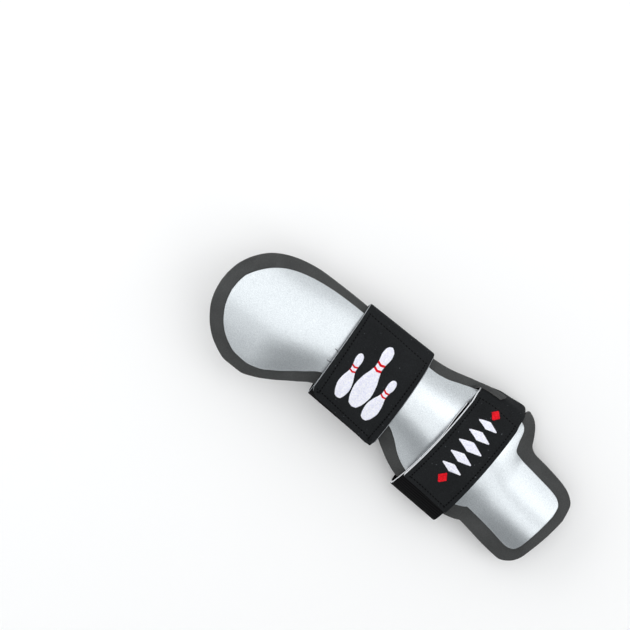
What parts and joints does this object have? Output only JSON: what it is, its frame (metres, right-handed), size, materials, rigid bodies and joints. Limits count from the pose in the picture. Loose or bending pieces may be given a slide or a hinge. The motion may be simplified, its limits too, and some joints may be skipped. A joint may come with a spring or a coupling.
{
  "type": "bowling wrist glove",
  "caption": "Right-hand bowling wrist positioner: curved silver metal splint on a dark grey foam pad, closed round wrist and hand by two black hook-and-loop straps.",
  "frame": {"origin": "middle of the footprint on the floor, under the palm side of the straps", "axes": "+X towards the fingers, +Y towards the thumb, +Z out of the back of the hand"},
  "size_m": [0.3014, 0.1122, 0.0609],
  "materials": {
    "metal": "satin",
    "foam": "matte",
    "strap": "matte",
    "hook_tape": "matte"
  },
  "bodies": {
    "root": {"plate": "metal", "foam_pad": "foam", "wrist_strap_tab": "strap", "wrist_strap_band": "strap", "wrist_hook_pad": "hook_tape", "hand_strap_tab": "strap", "hand_strap_band": "strap", "hand_hook_pad": "hook_tape"}
  },
  "joints": []
}
